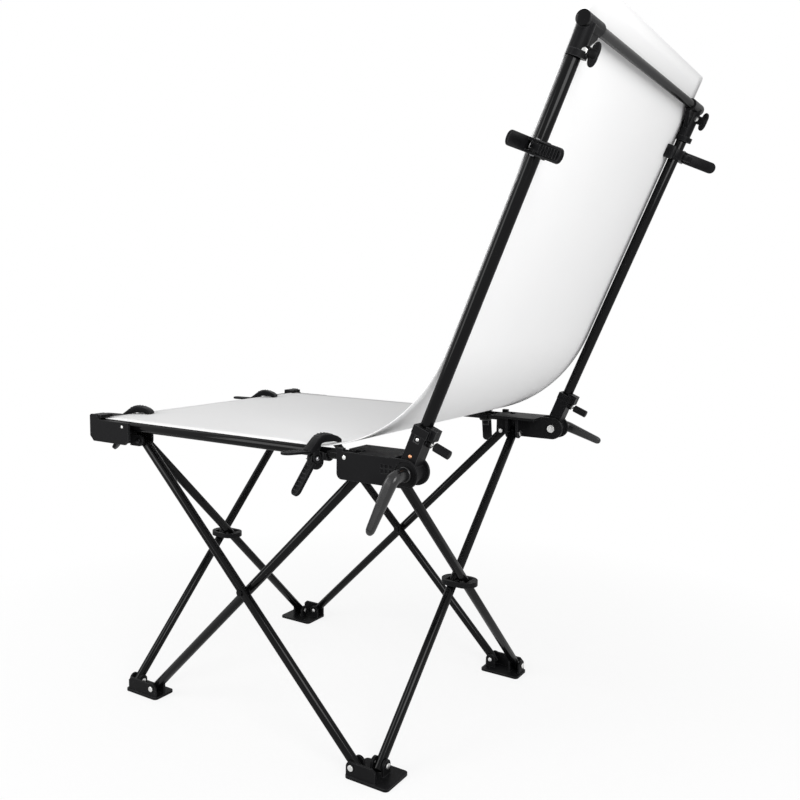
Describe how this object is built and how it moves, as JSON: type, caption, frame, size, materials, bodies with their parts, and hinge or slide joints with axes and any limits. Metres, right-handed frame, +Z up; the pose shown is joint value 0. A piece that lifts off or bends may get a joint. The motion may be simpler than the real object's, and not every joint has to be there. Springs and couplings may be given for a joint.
{
  "type": "folding photo shooting table",
  "caption": "Folding shooting table: crossed legs, corner blocks and rails carry a white sweep sheet that curves up a tilting back and is held by spring clips",
  "frame": {"origin": "on the floor, under the middle of the whole box", "axes": "+Z up, front at -Y, +X to the right of someone who stands in front of it, facing it"},
  "size_m": [0.765, 1.0764, 1.2371],
  "materials": {
    "white_sheet": "smooth matte",
    "black_tube": "satin black coating",
    "black_plastic": "moulded, lightly textured",
    "satin_lever": "satin",
    "zinc_steel": "zinc plated"
  },
  "bodies": {
    "frame": {"rear_right_block": "black_plastic", "rear_right_pins": "zinc_steel"},
    "sheet_table": {"sheet_table_half": "white_sheet"},
    "sheet_back": {"sheet_back_half": "white_sheet"},
    "right_rail": {"right_rail": "black_tube", "right_rail_clip": "black_plastic", "right_rail_clip_pin": "zinc_steel"},
    "right_rail_jaw": {"right_rail_clip_jaw": "black_plastic"},
    "left_rail": {"left_rail": "black_tube", "left_rail_clip": "black_plastic", "left_rail_clip_pin": "zinc_steel"},
    "left_rail_jaw": {"left_rail_clip_jaw": "black_plastic"},
    "front_rail": {"front_rail": "black_tube", "front_clips": "black_plastic", "front_clip_pins": "zinc_steel"},
    "front_right_jaw": {"front_right_clip_jaw": "black_plastic"},
    "front_left_jaw": {"front_left_clip_jaw": "black_plastic"},
    "right_outer_leg": {"right_outer_leg": "black_tube"},
    "right_inner_leg": {"right_inner_leg": "black_tube"},
    "left_inner_leg": {"left_inner_leg": "black_tube"},
    "left_outer_leg": {"left_outer_leg": "black_tube"},
    "front_inner_leg": {"front_inner_leg": "black_tube"},
    "front_outer_leg": {"front_outer_leg": "black_tube"},
    "rear_outer_leg": {"rear_outer_leg": "black_tube"},
    "rear_inner_leg": {"rear_inner_leg": "black_tube"},
    "front_leg_link": {"front_leg_link": "black_plastic"},
    "rear_leg_link": {"rear_leg_link": "black_plastic"},
    "front_right_foot": {"front_right_foot": "black_plastic", "front_right_foot_bolts": "zinc_steel"},
    "rear_right_foot": {"rear_right_foot": "black_plastic", "rear_right_foot_bolts": "zinc_steel"},
    "front_left_foot": {"front_left_foot": "black_plastic", "front_left_foot_bolts": "zinc_steel"},
    "rear_left_foot": {"rear_left_foot": "black_plastic", "rear_left_foot_bolts": "zinc_steel"},
    "front_right_block": {"front_right_block": "black_plastic", "front_right_pins": "zinc_steel"},
    "front_left_block": {"front_left_block": "black_plastic", "front_left_pins": "zinc_steel"},
    "rear_left_block": {"rear_left_block": "black_plastic", "rear_left_pins": "zinc_steel"},
    "right_holder": {"right_upright_holder": "black_plastic"},
    "left_holder": {"left_upright_holder": "black_plastic"},
    "right_lever": {"right_tilt_lever": "satin_lever"},
    "left_lever": {"left_tilt_lever": "satin_lever"},
    "right_thumbscrew": {"right_thumbscrew": "black_plastic"},
    "left_thumbscrew": {"left_thumbscrew": "black_plastic"},
    "right_upright": {"right_upright": "black_tube", "right_top_joint": "black_plastic", "crossbar": "black_tube", "right_upright_clip": "black_plastic", "right_upright_clip_pin": "zinc_steel"},
    "left_upright": {"left_upright": "black_tube", "left_top_joint": "black_plastic", "left_upright_clip": "black_plastic", "left_upright_clip_pin": "zinc_steel"},
    "right_wing_knob": {"right_wing_knob": "black_plastic"},
    "left_wing_knob": {"left_wing_knob": "black_plastic"},
    "right_upright_jaw": {"right_upright_clip_jaw": "black_plastic"},
    "left_upright_jaw": {"left_upright_clip_jaw": "black_plastic"}
  },
  "joints": [
    {"name": "fold", "type": "hinge", "parent": "frame", "child": "right_inner_leg", "pos_m": [0.259, 0.13597, 0.533], "axis": [1, 0, 0], "range_deg": [0, 34], "deforming": ["sheet_table_half", "sheet_back_half"]},
    {"name": "right_cross", "type": "hinge", "parent": "right_inner_leg", "child": "right_outer_leg", "pos_m": [0.269, -0.11803, 0.277], "axis": [1, 0, 0], "range_deg": [-68, 0]},
    {"name": "front_right_block_turn", "type": "hinge", "parent": "right_outer_leg", "child": "front_right_block", "pos_m": [0.279, -0.37203, 0.533], "axis": [1, 0, 0], "range_deg": [0, 34]},
    {"name": "rear_right_foot_turn", "type": "hinge", "parent": "right_outer_leg", "child": "rear_right_foot", "pos_m": [0.279, 0.13597, 0.021], "axis": [1, 0, 0], "range_deg": [0, 34]},
    {"name": "front_right_foot_turn", "type": "hinge", "parent": "right_inner_leg", "child": "front_right_foot", "pos_m": [0.259, -0.37203, 0.021], "axis": [1, 0, 0], "range_deg": [-34, 0]},
    {"name": "rear_leg_turn", "type": "hinge", "parent": "frame", "child": "rear_outer_leg", "pos_m": [0.254, 0.19419, 0.533], "axis": [0, -1, 0], "range_deg": [0, 34]},
    {"name": "rear_cross", "type": "hinge", "parent": "rear_outer_leg", "child": "rear_inner_leg", "pos_m": [0, 0.18219, 0.277], "axis": [0, -1, 0], "range_deg": [-68, 0]},
    {"name": "rear_left_block_turn", "type": "hinge", "parent": "rear_inner_leg", "child": "rear_left_block", "pos_m": [-0.254, 0.17019, 0.533], "axis": [0, -1, 0], "range_deg": [0, 34]},
    {"name": "rear_link_turn", "type": "hinge", "parent": "rear_outer_leg", "child": "rear_leg_link", "pos_m": [0, 0.18219, 0.277], "axis": [0, -1, 0], "range_deg": [-34, 0]},
    {"name": "rear_left_foot_turn", "type": "hinge", "parent": "rear_outer_leg", "child": "rear_left_foot", "pos_m": [-0.254, 0.19419, 0.021], "axis": [0, -1, 0], "range_deg": [-34, 0]},
    {"name": "front_leg_turn", "type": "hinge", "parent": "front_right_block", "child": "front_inner_leg", "pos_m": [0.254, -0.40624, 0.533], "axis": [0, -1, 0], "range_deg": [0, 34]},
    {"name": "front_cross", "type": "hinge", "parent": "front_inner_leg", "child": "front_outer_leg", "pos_m": [0, -0.41824, 0.277], "axis": [0, -1, 0], "range_deg": [-68, 0]},
    {"name": "front_left_block_turn", "type": "hinge", "parent": "front_outer_leg", "child": "front_left_block", "pos_m": [-0.254, -0.43024, 0.533], "axis": [0, -1, 0], "range_deg": [0, 34]},
    {"name": "front_link_turn", "type": "hinge", "parent": "front_inner_leg", "child": "front_leg_link", "pos_m": [0, -0.41824, 0.277], "axis": [0, -1, 0], "range_deg": [-34, 0]},
    {"name": "front_left_foot_turn", "type": "hinge", "parent": "front_inner_leg", "child": "front_left_foot", "pos_m": [-0.254, -0.40624, 0.021], "axis": [0, -1, 0], "range_deg": [-34, 0]},
    {"name": "left_leg_turn", "type": "hinge", "parent": "rear_left_block", "child": "left_outer_leg", "pos_m": [-0.279, 0.13597, 0.533], "axis": [1, 0, 0], "range_deg": [0, 34]},
    {"name": "left_cross", "type": "hinge", "parent": "left_outer_leg", "child": "left_inner_leg", "pos_m": [-0.269, -0.11803, 0.277], "axis": [1, 0, 0], "range_deg": [-68, 0]},
    {"name": "right_rail_swing", "type": "hinge", "parent": "frame", "child": "right_rail", "pos_m": [0.297, 0.13397, 0.56], "axis": [-1, 0, 0], "range_deg": [0, 88.4]},
    {"name": "left_rail_swing", "type": "hinge", "parent": "rear_left_block", "child": "left_rail", "pos_m": [-0.297, 0.13397, 0.56], "axis": [-1, 0, 0], "range_deg": [0, 88.4]},
    {"name": "front_rail_swing", "type": "hinge", "parent": "front_right_block", "child": "front_rail", "pos_m": [0.262, -0.45524, 0.56], "axis": [0, 1, 0], "range_deg": [0, 59.5]},
    {"name": "back_tilt", "type": "hinge", "parent": "frame", "child": "right_holder", "pos_m": [0.297, 0.24747, 0.546], "axis": [-1, 0, 0], "range_deg": [-22.6, 67.4], "deforming": ["sheet_table_half", "sheet_back_half"]},
    {"name": "left_back_tilt", "type": "hinge", "parent": "rear_left_block", "child": "left_holder", "pos_m": [-0.297, 0.24747, 0.546], "axis": [-1, 0, 0], "range_deg": [-22.6, 67.4]},
    {"name": "upright_slide", "type": "slide", "parent": "right_holder", "child": "right_upright", "axis": [0, 0.3843, 0.9232], "range_m": [0, 0.03], "deforming": ["sheet_table_half", "sheet_back_half"]},
    {"name": "left_upright_slide", "type": "slide", "parent": "left_holder", "child": "left_upright", "axis": [0, 0.3843, 0.9232], "range_m": [0, 0.03]},
    {"name": "sheet_lift", "type": "slide", "parent": "frame", "child": "sheet_table", "axis": [0, 0.3843, 0.9232], "range_m": [0, 0.96]},
    {"name": "sheet_bend", "type": "hinge", "parent": "sheet_table", "child": "sheet_back", "pos_m": [0, 0.24747, 0.546], "axis": [-1, 0, 0], "range_deg": [-22.6, 67.4]},
    {"name": "right_lever_turn", "type": "hinge", "parent": "frame", "child": "right_lever", "pos_m": [0.297, 0.24747, 0.546], "axis": [1, 0, 0], "range_deg": [-90, 60]},
    {"name": "left_lever_turn", "type": "hinge", "parent": "rear_left_block", "child": "left_lever", "pos_m": [-0.297, 0.24747, 0.546], "axis": [1, 0, 0], "range_deg": [-60, 90]},
    {"name": "right_thumbscrew_turn", "type": "hinge", "parent": "right_holder", "child": "right_thumbscrew", "pos_m": [0.297, 0.26938, 0.59862], "axis": [0, 0.9232, -0.3843], "continuous": true},
    {"name": "left_thumbscrew_turn", "type": "hinge", "parent": "left_holder", "child": "left_thumbscrew", "pos_m": [-0.297, 0.26938, 0.59862], "axis": [0, 0.9232, -0.3843], "continuous": true},
    {"name": "right_wing_knob_turn", "type": "hinge", "parent": "right_upright", "child": "right_wing_knob", "pos_m": [0.297, 0.49265, 1.14801], "axis": [-0.1392, 0.9142, -0.3806], "continuous": true},
    {"name": "left_wing_knob_turn", "type": "hinge", "parent": "left_upright", "child": "left_wing_knob", "pos_m": [-0.297, 0.49918, 1.1637], "axis": [0.1392, 0.9142, -0.3806], "continuous": true},
    {"name": "right_rail_jaw_open", "type": "hinge", "parent": "right_rail", "child": "right_rail_jaw", "pos_m": [0.31814, 0.07428, 0.553], "axis": [0.342, 0.9397, 0], "range_deg": [0, 28], "stiffness_Nm_per_rad": 0.4, "springref_deg": -28.65},
    {"name": "left_rail_jaw_open", "type": "hinge", "parent": "left_rail", "child": "left_rail_jaw", "pos_m": [-0.31814, 0.07428, 0.553], "axis": [0.342, -0.9397, 0], "range_deg": [0, 28], "stiffness_Nm_per_rad": 0.4, "springref_deg": -28.65},
    {"name": "front_right_jaw_open", "type": "hinge", "parent": "front_rail", "child": "front_right_jaw", "pos_m": [0.2207, -0.47638, 0.553], "axis": [0.9397, 0.342, 0], "range_deg": [0, 28], "stiffness_Nm_per_rad": 0.4, "springref_deg": -28.65},
    {"name": "front_left_jaw_open", "type": "hinge", "parent": "front_rail", "child": "front_left_jaw", "pos_m": [-0.17231, -0.47638, 0.553], "axis": [0.9397, 0.342, 0], "range_deg": [0, 28], "stiffness_Nm_per_rad": 0.4, "springref_deg": -28.65},
    {"name": "right_upright_jaw_open", "type": "hinge", "parent": "right_upright", "child": "right_upright_jaw", "pos_m": [0.3205, 0.44723, 1.02069], "axis": [0, 0.3843, 0.9232], "range_deg": [0, 28], "stiffness_Nm_per_rad": 0.4, "springref_deg": -28.65},
    {"name": "left_upright_jaw_open", "type": "hinge", "parent": "left_upright", "child": "left_upright_jaw", "pos_m": [-0.3205, 0.47874, 1.09639], "axis": [0, -0.3843, -0.9232], "range_deg": [0, 28], "stiffness_Nm_per_rad": 0.4, "springref_deg": -28.65}
  ],
  "couplings": [
    {"joint": "right_cross", "follows": "fold", "ratio": -2},
    {"joint": "front_right_block_turn", "follows": "fold", "ratio": 1},
    {"joint": "rear_right_foot_turn", "follows": "fold", "ratio": 1},
    {"joint": "front_right_foot_turn", "follows": "fold", "ratio": -1},
    {"joint": "rear_leg_turn", "follows": "fold", "ratio": 1},
    {"joint": "rear_cross", "follows": "fold", "ratio": -2},
    {"joint": "rear_left_block_turn", "follows": "fold", "ratio": 1},
    {"joint": "rear_link_turn", "follows": "fold", "ratio": -1},
    {"joint": "rear_left_foot_turn", "follows": "fold", "ratio": -1},
    {"joint": "front_leg_turn", "follows": "fold", "ratio": 1},
    {"joint": "front_cross", "follows": "fold", "ratio": -2},
    {"joint": "front_left_block_turn", "follows": "fold", "ratio": 1},
    {"joint": "front_link_turn", "follows": "fold", "ratio": -1},
    {"joint": "front_left_foot_turn", "follows": "fold", "ratio": -1},
    {"joint": "left_leg_turn", "follows": "fold", "ratio": 1},
    {"joint": "left_cross", "follows": "fold", "ratio": -2},
    {"joint": "right_rail_swing", "follows": "fold", "ratio": 2.6},
    {"joint": "left_rail_swing", "follows": "fold", "ratio": 2.6},
    {"joint": "front_rail_swing", "follows": "fold", "ratio": 1.75},
    {"joint": "left_back_tilt", "follows": "back_tilt", "ratio": 1},
    {"joint": "left_upright_slide", "follows": "upright_slide", "ratio": 1},
    {"joint": "sheet_lift", "follows": "fold", "m_per_rad": 1.6178},
    {"joint": "sheet_bend", "follows": "back_tilt", "ratio": 1}
  ]
}
